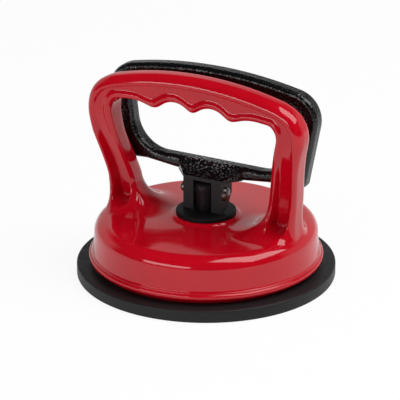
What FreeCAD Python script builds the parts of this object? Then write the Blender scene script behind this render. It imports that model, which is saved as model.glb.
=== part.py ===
"""Single cup suction lifter for floor tiles: die-cast body with its handle, cam lever and rubber pad.

Units are millimetres, +Z is up. The origin is the middle of the pad's flat underside, the stem's
axis is Z, and the handle stands along X, on the -Y side of the stem. The lever stands closed
behind the handle, and tips back towards +Y to let the pad go.
"""
import math
import os

import FreeCAD
import Part
from FreeCAD import Vector

os.makedirs("parts", exist_ok=True)

# ---------------------------------------------------------------- driving dimensions
# rubber pad
pad_radius = 60.0
pad_rim_height = 5.8
pad_web = 4.5             # thickness of the pad's middle
pad_flat_width = 22.0     # width of the ring that lies on the tile
pad_dish_slope = 12.0     # radial length of the ramp up to the drawn-up middle
pad_edge_round = 0.6

# cast body
shell_wall = 3.5
rim_seat_inner = 47.4     # ring of the body that presses on the pad
rim_seat_outer = 50.6
flange_gap = 2.3          # shadow gap between flange and pad
flange_radius = 54.3
flange_height = 2.8
flange_round = 1.0
wall_foot_radius = 52.3
wall_foot_rise = 1.6      # wall starts this far above the flange's top edge
wall_top_radius = 51.7
shoulder_round = 6.3
shoulder_height = 27.1    # crest of the rounded shoulder
crown_rise = 1.1          # how much the top climbs from the shoulder to the collar
collar_radius = 15.4
collar_height = 0.9
boss_radius = 13.0
boss_depth = 8.0          # how far the boss hangs below the crown's inner face
rib_count = 6
rib_thickness = 2.4
rib_depth = 4.0
rib_root = 1.0            # how far a rib's ends and top reach into the walls

# guide bush
bush_flange_radius = 13.9
bush_flange_height = 2.0
bush_outer_radius = 8.0

# stem
stem_radius = 5.0
stem_clearance = 0.05
tongue_width = 8.0
pin_radius = 2.4
pin_running_clearance = 0.05
pin_rise = 9.0            # pin's axis above the bush at rest
tongue_top_rise = 5.8     # top of the tongue above the pin's axis

# pad fixing
plate_radius = 30.0
plate_thickness = 2.0
stud_head_radius = 9.0
stud_head_height = 1.8
stud_radius = 3.0
stud_length_above_plate = 12.0
lock_washer_height = 1.6
lock_washer_radius = 5.6

# return spring
spring_wire_radius = 0.8
spring_coil_radius = 10.5
spring_coils = 3.0
spring_washer_height = 1.0
spring_washer_radius = 12.5

# handle: an arch of nearly constant section, standing in front of the stem
handle_y = -8.6           # middle of the arch's depth
handle_depth = 12.9
handle_top = 98.1
handle_crown_radius = 165.0
handle_half_width = 56.5  # outside of the arch at its widest
handle_wide_height = 80.0
handle_side_lean = 0.235  # outer sides run in by this much per mm of drop
handle_outer_corner = 15.0
opening_half_width = 43.2
opening_side_lean = 0.25
opening_corner = 7.0
groove_pitch = 18.8
groove_top = 85.0
groove_depth = 3.9
end_groove_top = 82.6
end_groove_drop = 2.9     # the hole's ends lie this much below its last grooves
outer_cusp_drop = 0.4
cusp_round = 3.2
arch_edge_round = 4.4
grip_edge_round = 2.6
arch_foot = 74.0          # the arch's flat plate ends here and the legs go on
panel_inset = 5.0         # border left standing round the sunk front panel
panel_depth = 0.7

# legs: they run in and lean back as they go down, and flare out over the crown
leg_foot = 26.8
leg_centred = 35.0        # from here down the legs stand on the shell's middle
leg_inner_lean = 0.225
leg_outer_foot_lean = 0.11
leg_flare_height = 43.0
leg_flare_inward = 14.5
leg_flare_across = 13.2   # at the front and at the back
leg_shoulder = 0.15       # the legs start this much inside the arch's section
leg_round_share = 0.34    # corner radius as a share of the leg's narrower side
leg_inner_round_share = 0.2
leg_foot_round_share = 0.47

# flute down the front of each leg: it grows towards the crown and ends in a round pocket
flute_top = arch_foot
flute_foot = 35.0
flute_top_radius = 2.4
flute_foot_radius = 4.0
flute_top_depth = panel_depth
flute_foot_depth = 4.6

# locking lever
lever_angle_range = 55.0
lift = 3.0                # the pad's travel
cam_clearance = 0.12
cheek_front = 3.84        # cheeks reach this far in front of the pin's axis
cheek_back = 6.4          # and this far behind it
block_half_width = 9.9
slot_half_width = 4.65
slot_clearance = 0.9
block_front_rise = 7.2    # front top edge of the block above the pin
lever_front = 3.8
lever_depth = 8.0
lever_top = 97.6
lever_crown_radius = 205.0
lever_half_width = 55.8
lever_wide_height = 80.0
lever_side_lean = 0.25
lever_outer_corner = 13.5
lever_heel = 47.2         # height of the lever's lower corners
lever_heel_round = 3.0
lever_keel = 45.4         # lowest point of the bottom bar, in the middle
lever_arm_half = 34.0     # the bar's lower edge is highest this far out
lever_arm_rise = 2.6
lever_opening_half = 42.8
lever_opening_lean = 0.12
lever_opening_floor = 52.4
lever_opening_top = 84.8
lever_opening_sag = 2.2   # how much lower its top is at the ends
lever_opening_upper_corner = 7.0
lever_opening_lower_corner = 16.0
lever_edge_round = 2.4
gusset_half_width = 16.5  # webs that widen the block's sloping top towards the bar
gusset_edge = 0.9         # their thickness at the front

# pivot pin
pin_head_radius = 3.4
pin_head_height = 2.2
pin_tail_length = 2.9
pin_tail_round = 1.5

# ---------------------------------------------------------------- derived sizes
flange_bottom = pad_rim_height + flange_gap
flange_top = flange_bottom + flange_height
wall_foot = flange_top + wall_foot_rise
shoulder_radius = wall_top_radius - shoulder_round
wall_top = shoulder_height - shoulder_round
crown_height = shoulder_height + crown_rise
collar_top = crown_height + collar_height
bush_top = collar_top + bush_flange_height
pin_height = bush_top + pin_rise
boss_bottom = crown_height - shell_wall - boss_depth
pad_middle_bottom = lift
pad_middle_top = lift + pad_web
plate_top = pad_middle_top + plate_thickness
stem_bottom = plate_top + lock_washer_height
handle_front = handle_y - handle_depth / 2
handle_back = handle_y + handle_depth / 2
opening_end_height = end_groove_top - end_groove_drop
hole_bottom = arch_foot - 5.0
cam_rate = lift / math.radians(lever_angle_range)


def revolve(points):
    """Solid of revolution about Z from (radius, height) corners."""
    wire = Part.makePolygon([Vector(r, 0, z) for r, z in points + points[:1]])
    return Part.Face(wire).revolve(Vector(0, 0, 0), Vector(0, 0, 1), 360)


def tube(inner, outer, low, high):
    """Round tube or washer on the Z axis."""
    return revolve([(inner, low), (outer, low), (outer, high), (inner, high)])


def cylinder(radius, low, high):
    return Part.makeCylinder(radius, high - low, Vector(0, 0, low))


def x_cylinder(radius, width, height):
    """Cylinder along X at that height, its middle on the stem's axis."""
    return Part.makeCylinder(radius, width, Vector(-width / 2, 0, height), Vector(1, 0, 0))


def solid_of(shape):
    """The one solid of a boolean's result."""
    shape = shape.removeSplitter()
    return shape.Solids[0] if len(shape.Solids) == 1 else shape


def line(a, b):
    return Part.makeLine(a, b)


def arc(a, b, c):
    return Part.Arc(a, b, c).toShape()


def front_prism(edges, front, depth):
    """Extrudes a closed outline drawn in the XZ plane, from y = front towards +Y."""
    wire = Part.Wire(Part.__sortEdges__(edges))
    face = Part.Face(wire)
    face.translate(Vector(0, front, 0))
    return face.extrude(Vector(0, depth, 0))


def flat(x, z):
    return Vector(x, 0, z)


def edges_where(shape, test):
    return [edge for edge in shape.Edges if test(edge)]


def is_cross_edge(edge):
    """Straight edge that runs along Y."""
    if len(edge.Vertexes) != 2:
        return False
    run = edge.Vertexes[1].Point - edge.Vertexes[0].Point
    return abs(run.y) > 0.9 * edge.Length and abs(run.x) + abs(run.z) < 1e-6


def lies_in_plane_y(edge, y):
    return all(abs(edge.valueAt(t).y - y) < 1e-6 for t in
               (edge.FirstParameter, (edge.FirstParameter + edge.LastParameter) / 2, edge.LastParameter))


# ---------------------------------------------------------------- body casting
def shell():
    """Hollow round shell with its flange, shoulder, crown, collar, boss and ribs."""
    z0 = pad_rim_height
    outside = [(rim_seat_inner, z0), (rim_seat_outer, z0), (rim_seat_outer, flange_bottom),
               (flange_radius, flange_bottom), (flange_radius, flange_top),
               (wall_foot_radius + 0.6, flange_top + 0.3), (wall_foot_radius, wall_foot),
               (wall_top_radius, wall_top)]
    centre = Vector(shoulder_radius, 0, wall_top)
    diagonal = shoulder_round / math.sqrt(2)
    points = [Vector(r, 0, z) for r, z in outside]
    edges = [line(a, b) for a, b in zip(points, points[1:])]
    crest = centre + Vector(0, 0, shoulder_round)
    edges.append(arc(points[-1], centre + Vector(diagonal, 0, diagonal), crest))
    inner_crown = crown_height - shell_wall
    inner_wall = wall_top_radius - shell_wall
    inside = [(collar_radius + 1.0, crown_height), (collar_radius, collar_top),
              (bush_outer_radius, collar_top), (bush_outer_radius, boss_bottom),
              (boss_radius, boss_bottom), (boss_radius, inner_crown),
              (shoulder_radius - 1.0, shoulder_height - shell_wall),
              (inner_wall, wall_top - 1.0), (rim_seat_inner, wall_foot - 3.0), (rim_seat_inner, z0)]
    chain = [crest] + [Vector(r, 0, z) for r, z in inside]
    edges += [line(a, b) for a, b in zip(chain, chain[1:])]
    body = Part.Face(Part.Wire(edges)).revolve(Vector(0, 0, 0), Vector(0, 0, 1), 360)
    rim = [e for e in body.Edges if e.Curve.TypeId == "Part::GeomCircle"
           and abs(e.Curve.Radius - flange_radius) < 1e-6]
    body = body.makeFillet(flange_round, rim)
    for i in range(rib_count):
        rib = Part.makeBox(inner_wall - boss_radius + rib_root, rib_thickness, rib_depth + rib_root,
                           Vector(boss_radius - rib_root, -rib_thickness / 2, inner_crown - rib_depth))
        rib.rotate(Vector(0, 0, 0), Vector(0, 0, 1), (i + 0.5) * 360 / rib_count)
        body = body.fuse(rib)
    return body


def arch_outline(inset):
    """Outside of the arch, sharp cornered, from its feet over the crown."""
    width = handle_half_width - inset
    foot_x = width - handle_side_lean * (handle_wide_height - arch_foot)
    sag = width ** 2 / (2 * (handle_crown_radius - inset))
    side_top = flat(width, handle_top - inset - sag)
    foot = flat(foot_x, arch_foot)
    mirror = lambda v: flat(-v.x, v.z)
    return [arc(mirror(side_top), flat(0, handle_top - inset), side_top), line(side_top, foot),
            line(foot, mirror(foot)), line(mirror(foot), mirror(side_top))]


def opening_outline(grow):
    """The hand hole, with finger grooves along its top, or a line that runs round it at a distance."""
    radius = ((groove_pitch / 2) ** 2 + groove_depth ** 2) / (2 * groove_depth)
    cusp_height = groove_top - radius + math.sqrt((radius + grow) ** 2 - (groove_pitch / 2) ** 2)
    cusp = [flat(0, cusp_height), flat(groove_pitch, cusp_height - outer_cusp_drop)]
    groove = flat(groove_pitch / 2, groove_top + grow)
    end = flat(opening_half_width + grow, opening_end_height + grow * 0.8)
    end_groove = flat(groove_pitch * 1.36, end_groove_top + grow)
    foot = flat(end.x - opening_side_lean * (end.z - hole_bottom), hole_bottom)
    mirror = lambda v: flat(-v.x, v.z)
    half = [arc(cusp[0], groove, cusp[1]), arc(cusp[1], end_groove, end), line(end, foot)]
    other = [arc(cusp[0], mirror(groove), mirror(cusp[1])),
             arc(mirror(cusp[1]), mirror(end_groove), mirror(end)), line(mirror(end), mirror(foot))]
    return half + other + [line(foot, mirror(foot))]


def arch_plate(inset):
    """Outside of the handle's upper part, or the same drawn in by inset, before its edges are rounded."""
    plate = front_prism(arch_outline(inset), handle_front, handle_depth)
    corners = edges_where(plate, lambda e: is_cross_edge(e) and e.Vertexes[0].Point.z > arch_foot + 5)
    return plate.makeFillet(handle_outer_corner - inset, corners)


def hand_hole(grow):
    """Cutting tool for the hand hole, its ends rounded."""
    hole = front_prism(opening_outline(grow), handle_front - 1, handle_depth + 2)
    ends = edges_where(hole, lambda e: is_cross_edge(e) and e.Vertexes[0].Point.z > arch_foot
                       and abs(e.Vertexes[0].Point.x) > groove_pitch * 1.5)
    return hole.makeFillet(opening_corner + grow, ends)


def rounded_cusps(hole):
    cusps = edges_where(hole, lambda e: is_cross_edge(e) and e.Vertexes[0].Point.z > arch_foot
                        and abs(e.Vertexes[0].Point.x) < groove_pitch * 1.1)
    return hole.makeFillet(cusp_round, cusps)


def arch():
    """Upper part of the handle: plate with rounded rims, finger grooves and a sunk front panel."""
    plate = arch_plate(0)
    hole = rounded_cusps(hand_hole(0))
    panel = arch_plate(panel_inset).cut(hand_hole(grip_edge_round + 1))
    panel.translate(Vector(0, panel_depth - handle_depth, 0))
    faces = (handle_front, handle_back)
    rims = edges_where(plate, lambda e: any(lies_in_plane_y(e, y) for y in faces)
                       and e.BoundBox.ZMax > arch_foot + 0.1)
    plate = plate.makeFillet(arch_edge_round, rims).cut(hole)
    inner = edges_where(plate, lambda e: any(lies_in_plane_y(e, y) for y in faces)
                        and abs(e.BoundBox.XMax) < opening_half_width + 0.5
                        and abs(e.BoundBox.XMin) < opening_half_width + 0.5
                        and e.BoundBox.ZMax > arch_foot + 0.1 and e.BoundBox.ZMax < groove_top + 0.5)
    return plate.makeFillet(grip_edge_round, inner).cut(panel)


def smoothstep(t):
    return t * t * (3 - 2 * t)


def leg_sides(z):
    """Inner x, outer x, front y and back y of the leg on the +X side at height z."""
    down = arch_foot - z
    length = arch_foot - leg_foot
    outer_top = handle_half_width - handle_side_lean * (handle_wide_height - arch_foot) - leg_shoulder
    inner_top = opening_half_width - opening_side_lean * (opening_end_height - arch_foot) + leg_shoulder
    lean_change = handle_side_lean - leg_outer_foot_lean
    outer = outer_top - handle_side_lean * down + lean_change * down ** 2 / (2 * length)
    flare = max(0, (leg_flare_height - z) / (leg_flare_height - leg_foot)) ** 2
    inner = inner_top - leg_inner_lean * down - leg_flare_inward * flare
    middle = handle_y * (1 - smoothstep(min(1, down / (arch_foot - leg_centred))))
    half = handle_depth / 2 - leg_shoulder + leg_flare_across * flare
    return inner, outer, middle - half, middle + half


def rounded_rectangle(z, sides, inner_round, outer_round):
    """Closed wire at height z with rounded corners."""
    x0, x1, y0, y1 = sides
    edges = []
    ends = []
    for x, y, sx, sy, radius in ((x1, y0, -1, 1, outer_round), (x1, y1, -1, -1, outer_round),
                                 (x0, y1, 1, -1, inner_round), (x0, y0, 1, 1, inner_round)):
        bulge = radius * (1 - 1 / math.sqrt(2))
        along_x, along_y = Vector(x + sx * radius, y, z), Vector(x, y + sy * radius, z)
        start, end = (along_x, along_y) if sx * sy < 0 else (along_y, along_x)
        edges.append(arc(start, Vector(x + sx * bulge, y + sy * bulge, z), end))
        ends.append((start, end))
    for i in range(4):
        edges.insert(2 * i + 1, line(ends[i][1], ends[(i + 1) % 4][0]))
    return Part.Wire(edges)


def leg():
    """One leg, leaning back and flaring out into the crown."""
    straight = [arch_foot + (leg_flare_height - arch_foot) * i / 6 for i in range(6)]
    flared = [leg_flare_height + (leg_foot - leg_flare_height) * i / 5 for i in range(6)]
    wires = []
    for z in straight + flared:
        x0, x1, y0, y1 = leg_sides(z)
        down = min(1, (arch_foot - z) / (arch_foot - leg_flare_height))
        flare = max(0, (leg_flare_height - z) / (leg_flare_height - leg_foot))
        spread = (leg_foot_round_share - leg_round_share) * flare
        inner_share = leg_inner_round_share + (leg_round_share - leg_inner_round_share) * down + spread
        narrow = min(x1 - x0, y1 - y0)
        outer_share = leg_round_share + spread
        wires.append(rounded_rectangle(z, (x0, x1, y0, y1), inner_share * narrow, outer_share * narrow))
    return Part.makeLoft(wires, True, False)


def flute():
    """Cutting tool for the flute in one leg: circles that grow downwards and close in a round end."""
    steps = 5
    rings = [(flute_top + (flute_foot - flute_top) * i / (steps - 1), i / (steps - 1)) for i in range(steps)]
    wires = []
    for z, t in rings:
        radius = flute_top_radius + (flute_foot_radius - flute_top_radius) * t
        depth = flute_top_depth + (flute_foot_depth - flute_top_depth) * t ** 1.5
        inner, outer, front = leg_sides(z)[:3]
        centre = Vector((inner + outer) / 2, front + depth - radius, z)
        wires.append(Part.Wire(Part.makeCircle(radius, centre, Vector(0, 0, 1))))
    for angle in (40, 70):
        end = centre - Vector(0, 0, flute_foot_radius * math.sin(math.radians(angle)))
        radius = flute_foot_radius * math.cos(math.radians(angle))
        wires.append(Part.Wire(Part.makeCircle(radius, end, Vector(0, 0, 1))))
    return Part.makeLoft(wires, True, False)


def body_casting():
    right = leg().cut(flute())
    left = right.mirror(Vector(0, 0, 0), Vector(1, 0, 0))
    return solid_of(shell().fuse([right, left, arch()]))


# ---------------------------------------------------------------- bush, stem, spring
def guide_bush():
    sleeve = tube(stem_radius + stem_clearance, bush_outer_radius, boss_bottom, collar_top)
    flange = tube(stem_radius + stem_clearance, bush_flange_radius, collar_top, bush_top)
    return solid_of(sleeve.fuse(flange))


def stem():
    """Round rod with a flat tongue at its top, the tongue's end rounded about the pin's direction."""
    top = pin_height + tongue_top_rise
    width = 4 * stem_radius
    round_centre = top - stem_radius
    cap = x_cylinder(stem_radius, width, round_centre)
    cap = cap.fuse(Part.makeBox(width, width, round_centre - stem_bottom,
                                Vector(-width / 2, -width / 2, stem_bottom)))
    rod = cylinder(stem_radius, stem_bottom, top).common(cap)
    for x in (tongue_width / 2, -tongue_width / 2 - stem_radius):
        beside = Part.makeBox(stem_radius, 2 * stem_radius, top - bush_top)
        beside.translate(Vector(x, -stem_radius, bush_top))
        rod = rod.cut(beside)
    rod = rod.cut(x_cylinder(pin_radius + pin_running_clearance, width, pin_height))
    thread = cylinder(stud_radius, stem_bottom, plate_top + stud_length_above_plate)
    return solid_of(rod.cut(thread))


def lock_washer():
    return tube(stud_radius, lock_washer_radius, plate_top, stem_bottom)


def plate_stud():
    head = cylinder(stud_head_radius, pad_middle_top - stud_head_height, pad_middle_top)
    shank = cylinder(stud_radius, pad_middle_top, plate_top + stud_length_above_plate)
    return solid_of(head.fuse(shank))


def pad_plate():
    return tube(stud_radius, plate_radius, pad_middle_top, plate_top)


def suction_pad():
    """Rubber disc, flat at its rim and drawn up in the middle as it is when locked."""
    flat_inner = pad_radius - pad_flat_width
    ramp_inner = flat_inner - pad_dish_slope
    top_step = rim_seat_inner - 2.0
    profile = [(0, pad_middle_bottom), (ramp_inner, pad_middle_bottom), (flat_inner, 0),
               (pad_radius - pad_edge_round, 0), (pad_radius, pad_edge_round),
               (pad_radius, pad_rim_height - pad_edge_round), (pad_radius - pad_edge_round, pad_rim_height),
               (top_step, pad_rim_height), (plate_radius + 2, pad_middle_top), (0, pad_middle_top)]
    pad = revolve(profile)
    pocket = cylinder(stud_head_radius, pad_middle_top - stud_head_height, pad_middle_top)
    return solid_of(pad.cut(pocket))


def spring_washer():
    return tube(stem_radius + 0.6, spring_washer_radius, boss_bottom - spring_washer_height, boss_bottom)


def return_spring():
    low = plate_top + spring_wire_radius
    high = boss_bottom - spring_washer_height - spring_wire_radius
    helix = Part.makeHelix((high - low) / spring_coils, high - low, spring_coil_radius)
    helix.translate(Vector(0, 0, low))
    section = Part.makeCircle(spring_wire_radius, Vector(spring_coil_radius, 0, low), Vector(0, 1, 0))
    return Part.Wire(helix).makePipeShell([Part.Wire(section)], True, True)


# ---------------------------------------------------------------- lever
def lever_frame():
    """Closed frame of the lever, behind the handle."""
    mirror = lambda v: flat(-v.x, v.z)
    sag = lever_half_width ** 2 / (2 * lever_crown_radius)
    shoulder = flat(lever_half_width, lever_top - sag)
    heel = flat(lever_half_width - lever_side_lean * (lever_wide_height - lever_heel), lever_heel)
    arm = flat(lever_arm_half, lever_keel + lever_arm_rise)
    keel = flat(block_half_width, lever_keel)
    right = [shoulder, heel, arm, keel]
    chain = right + [mirror(v) for v in reversed(right)]
    outline = [line(a, b) for a, b in zip(chain, chain[1:])]
    outline.append(arc(mirror(shoulder), flat(0, lever_top), shoulder))
    plate = front_prism(outline, lever_front, lever_depth)
    cross = edges_where(plate, is_cross_edge)
    top = [e for e in cross if e.Vertexes[0].Point.z > lever_wide_height]
    plate = plate.makeFillet(lever_outer_corner, top)
    cross = edges_where(plate, is_cross_edge)
    heels = [e for e in cross if abs(e.Vertexes[0].Point.z - lever_heel) < 0.01]
    plate = plate.makeFillet(lever_heel_round, heels)
    upper = flat(lever_opening_half, lever_opening_top - lever_opening_sag)
    run_in = lever_opening_lean * (upper.z - lever_opening_floor)
    lower = flat(lever_opening_half - run_in, lever_opening_floor)
    hole_outline = [arc(mirror(upper), flat(0, lever_opening_top), upper), line(upper, lower),
                    line(lower, mirror(lower)), line(mirror(lower), mirror(upper))]
    hole = front_prism(hole_outline, lever_front - 1, lever_depth + 2)
    cross = edges_where(hole, is_cross_edge)
    hole = hole.makeFillet(lever_opening_upper_corner,
                           [e for e in cross if e.Vertexes[0].Point.z > lever_opening_floor + 1])
    cross = edges_where(hole, is_cross_edge)
    hole = hole.makeFillet(lever_opening_lower_corner,
                           [e for e in cross if abs(e.Vertexes[0].Point.z - lever_opening_floor) < 0.01])
    frame = plate.cut(hole)
    back = lever_front + lever_depth
    rims = edges_where(frame, lambda e: lies_in_plane_y(e, lever_front) or lies_in_plane_y(e, back))
    return frame.makeFillet(lever_edge_round, rims)


def cam_point(angle):
    """Point of the cam's edge that bears on the bush when the lever is tipped by angle."""
    radius = pin_rise - cam_clearance - cam_rate * angle
    y = radius * math.sin(angle) - cam_rate * math.cos(angle)
    z = -radius * math.cos(angle) - cam_rate * math.sin(angle)
    return Vector(0, y, pin_height + z)


def gussets(ridge, front_top):
    """Wedge whose top is the block's sloping top, widened towards the bar."""
    low = lever_keel + gusset_edge
    side = Part.Face(Part.makePolygon([ridge, front_top, front_top - Vector(0, 0, gusset_edge),
                                       Vector(0, lever_front, low), Vector(0, ridge.y, low), ridge]))
    side.translate(Vector(-gusset_half_width, 0, 0))
    wedge = side.extrude(Vector(2 * gusset_half_width, 0, 0))
    plan = [Vector(-block_half_width, -cheek_front, 0), Vector(block_half_width, -cheek_front, 0),
            Vector(gusset_half_width, lever_front, 0), Vector(gusset_half_width, ridge.y, 0),
            Vector(-gusset_half_width, ridge.y, 0), Vector(-gusset_half_width, lever_front, 0)]
    prism = Part.Face(Part.makePolygon(plan + plan[:1])).extrude(Vector(0, 0, lever_top))
    return wedge.common(prism)


def clevis_block():
    """Block in the lever's middle with the two cam cheeks, its sloping top and the tongue's slot."""
    full = math.radians(lever_angle_range)
    steps = 8
    cam = Part.BSplineCurve()
    cam.interpolate([cam_point(full * i / steps) for i in range(steps + 1)])
    first, last = cam_point(0), cam_point(full)
    back_y = cheek_back
    run = (back_y - last.y) / math.cos(full)
    heel = Vector(0, back_y, last.z + run * math.sin(full))
    front_low = Vector(0, -cheek_front, first.z)
    front_top = Vector(0, -cheek_front, pin_height + block_front_rise)
    back = lever_front + lever_depth - lever_edge_round
    ridge = Vector(0, lever_front + lever_edge_round, lever_opening_floor)
    crest = Vector(0, back, lever_opening_floor)
    under = Vector(0, back, lever_keel)
    under_front = Vector(0, back_y, lever_keel)
    corners = [last, heel, under_front, under, crest, ridge, front_top, front_low, first]
    edges = [cam.toShape()] + [line(a, b) for a, b in zip(corners, corners[1:])]
    face = Part.Face(Part.Wire(edges))
    face.translate(Vector(-block_half_width, 0, 0))
    block = face.extrude(Vector(2 * block_half_width, 0, 0)).fuse(gussets(ridge, front_top))
    reach = tongue_top_rise + slot_clearance
    slot = x_cylinder(reach, 2 * slot_half_width, pin_height)
    slot = slot.fuse(Part.makeBox(2 * slot_half_width, 2 * back, reach + pin_rise,
                                  Vector(-slot_half_width, -back, pin_height - reach - cheek_back)))
    return block.cut(slot)


def locking_lever():
    lever = lever_frame().fuse(clevis_block())
    return solid_of(lever.cut(x_cylinder(pin_radius, 6 * block_half_width, pin_height)))


def pivot_pin():
    """Rivet pin: domed head on the +X cheek, upset tail on the -X cheek."""
    shank = Part.makeCylinder(pin_radius, 2 * block_half_width + pin_tail_length,
                              Vector(-block_half_width - pin_tail_length, 0, pin_height), Vector(1, 0, 0))
    tail = [e for e in shank.Edges if abs(e.BoundBox.XMax + block_half_width + pin_tail_length) < 1e-6
            and e.Closed]
    shank = shank.makeFillet(pin_tail_round, tail)
    dome_radius = (pin_head_radius ** 2 + pin_head_height ** 2) / (2 * pin_head_height)
    dome_centre = block_half_width + pin_head_height - dome_radius
    dome = Part.makeSphere(dome_radius, Vector(dome_centre, 0, pin_height))
    keep = Part.makeCylinder(pin_head_radius, pin_head_height + 1, Vector(block_half_width, 0, pin_height),
                             Vector(1, 0, 0))
    return solid_of(shank.fuse(dome.common(keep)))


nodes = {
    "body_casting": body_casting,
    "guide_bush": guide_bush,
    "suction_pad": suction_pad,
    "pad_plate": pad_plate,
    "plate_stud": plate_stud,
    "lock_washer": lock_washer,
    "stem": stem,
    "return_spring": return_spring,
    "spring_washer": spring_washer,
    "locking_lever": locking_lever,
    "pivot_pin": pivot_pin,
}

for name, make in nodes.items():
    shape = make()
    shape.exportStep("parts/" + name + ".step")
    print(name, "solids", len(shape.Solids), "valid", shape.isValid(), "volume", round(shape.Volume, 1))
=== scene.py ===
"""Looks of the suction lifter: smooth casting, lever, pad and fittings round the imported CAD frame.

Lengths in this file are millimetres, as in the part's own construction; MM turns them into the
frame's metres. Materials, camera and lights are in metres. The frame stands on Z = 0 with the stem
on the Z axis, and its front looks along -Y.
"""
import math

import bmesh
import bpy
import numpy as np
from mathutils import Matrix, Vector

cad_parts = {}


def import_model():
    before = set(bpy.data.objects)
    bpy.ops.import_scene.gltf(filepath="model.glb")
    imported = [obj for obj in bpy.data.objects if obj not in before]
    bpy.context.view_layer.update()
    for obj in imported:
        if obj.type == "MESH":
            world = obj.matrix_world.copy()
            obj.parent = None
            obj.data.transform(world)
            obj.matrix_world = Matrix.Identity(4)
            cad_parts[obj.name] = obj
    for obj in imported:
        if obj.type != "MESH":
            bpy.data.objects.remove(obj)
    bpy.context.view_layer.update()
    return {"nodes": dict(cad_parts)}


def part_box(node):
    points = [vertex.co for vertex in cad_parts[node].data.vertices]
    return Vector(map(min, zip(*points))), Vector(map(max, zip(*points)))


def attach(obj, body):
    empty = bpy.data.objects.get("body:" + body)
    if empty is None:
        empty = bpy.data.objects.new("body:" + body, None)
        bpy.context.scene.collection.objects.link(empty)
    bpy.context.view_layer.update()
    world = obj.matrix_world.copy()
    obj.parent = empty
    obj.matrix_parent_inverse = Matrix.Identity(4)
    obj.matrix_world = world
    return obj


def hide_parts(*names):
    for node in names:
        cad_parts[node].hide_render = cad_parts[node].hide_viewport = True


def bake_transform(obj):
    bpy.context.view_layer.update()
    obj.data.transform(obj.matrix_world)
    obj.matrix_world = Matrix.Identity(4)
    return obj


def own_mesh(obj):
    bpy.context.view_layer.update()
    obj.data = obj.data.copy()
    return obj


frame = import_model()

MM = 0.001


def box_mm(node):
    """Low and high corner of a node's box."""
    low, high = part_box(node)
    return np.array(low) / MM, np.array(high) / MM


# ---------------------------------------------------------------- sizes
bush_low, bush_high = box_mm("guide_bush")
casting_high = box_mm("body_casting")[1]

# pad
PAD_RADIUS = 60.0
PAD_RIM = 5.8             # height of the rim
PAD_TOP = 7.5             # height of the middle
PAD_LIFT = 3.0            # how far the middle is drawn up
PAD_KEEP = 0.6            # share of its height that the middle keeps when the stem is down
PAD_STEP = 45.4           # the top starts to rise here, inwards
PAD_WAIST = 40.0          # where the middle joins the rim
PAD_ROUND, PAD_TOP_ROUND = 0.8, 1.0
PLATE_SEAT = 32.0
DISH_TOP_RADIUS, DISH_RADIUS, DISH_ROUND = 26.0, 38.0, 3.0
STUD_WELL = 9.0
WELL_FLOOR = PAD_LIFT / PAD_KEEP - 0.5    # clear of the stud's head
AXIS_GAP = 0.01           # turned profiles start this far from the axis and are welded there

# shell
RIM_INNER = 47.4
RIM_OUTER = 50.6
FLANGE_RADIUS = 54.3
FLANGE_BOTTOM = PAD_RIM + 2.3
FLANGE_TOP = FLANGE_BOTTOM + 2.8
FLANGE_ROUND = 1.1
WALL_FOOT = FLANGE_TOP + 1.6
WALL_FOOT_RADIUS = 52.3
WALL_TOP_RADIUS = 51.7
SHOULDER_ROUND = 6.3
SHOULDER_HEIGHT = 27.1
SHOULDER_RADIUS = WALL_TOP_RADIUS - SHOULDER_ROUND
WALL_TOP = SHOULDER_HEIGHT - SHOULDER_ROUND
CROWN = SHOULDER_HEIGHT + 1.1
COLLAR_RADIUS = 15.4
COLLAR_TOP = CROWN + 0.9
SHELL_WALL = 3.5
# hollow roundings as (radius, height) steps: from the flange to the wall, and from the crown over the collar
WALL_FILLET = ((1.0, 0.05), (0.35, 0.35), (0.08, 0.9))
COLLAR_FILLET = ((2.4, -0.05), (1.0, 0.05), (0.3, 0.35))

# bush, boss, ribs and spring
BUSH_TOP = bush_high[2]
BUSH_BOTTOM = bush_low[2]
BUSH_RADIUS = 13.9
BUSH_SLEEVE = 8.0
STEM_BORE = 5.05
BOSS_RADIUS = 13.0
RIB_COUNT = 6
RIB_THICKNESS = 2.4
RIB_DEPTH = 4.0
RIB_ROOT = 1.0            # how far a rib reaches into the boss, the wall and the crown
SPRING_WIRE = 1.6
SPRING_COILS = 3.0
COIL_STEPS, WIRE_STEPS = 48, 20

# handle
HANDLE_Y = -8.6           # middle of the grip's depth; the legs lean back to 0
HANDLE_HALF = 6.45        # half of that depth
HANDLE_TOP = casting_high[2]
CROWN_ARC = 165.0         # radius of the top
HALF_WIDTH = 56.5
WIDE_HEIGHT = 80.0        # the handle is widest here
SIDE_LEAN = 0.235
OUTER_CORNER = 15.0
HOLE_HALF = 43.2
HOLE_LEAN = 0.25
HOLE_CORNER = 7.0
HOLE_END = 79.7
GROOVE_PITCH = 18.8
GROOVE_TOP = 85.5
GROOVE_DEPTH = 5.4
END_GROOVE_AT = 1.36      # the last groove's top, in pitches from the middle
END_GROOVE_TOP = 82.6
CUSP_DROP = 0.4           # how much lower the outer cusps are than the middle one
CUSP_EASE = 7.0           # length over which a cusp is rounded
ARCH_FOOT = 74.0
LEG_FOOT = 26.8
LEG_CENTRED = 35.0        # below this height the leg stands in the middle of the shell
INNER_LEAN = 0.225
OUTER_FOOT_LEAN = 0.11
RIM_ROUND = 4.4
GRIP_ROUND = 2.8
INNER_CROWN = 0.8         # how far a leg's inner side falls back at its front and back
OUTER_CROWN = 1.2         # how much deeper than high the outer rounds are
# rounds change from the arch's to the leg's over this height, by these amounts
LEG_ROUNDS_FROM, LEG_ROUNDS_SPAN = ARCH_FOOT + 4, 14
LEG_BACK_MORE, LEG_RIM_LESS, LEG_INNER_LESS = 3.2, 2.2, 0.6

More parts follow.
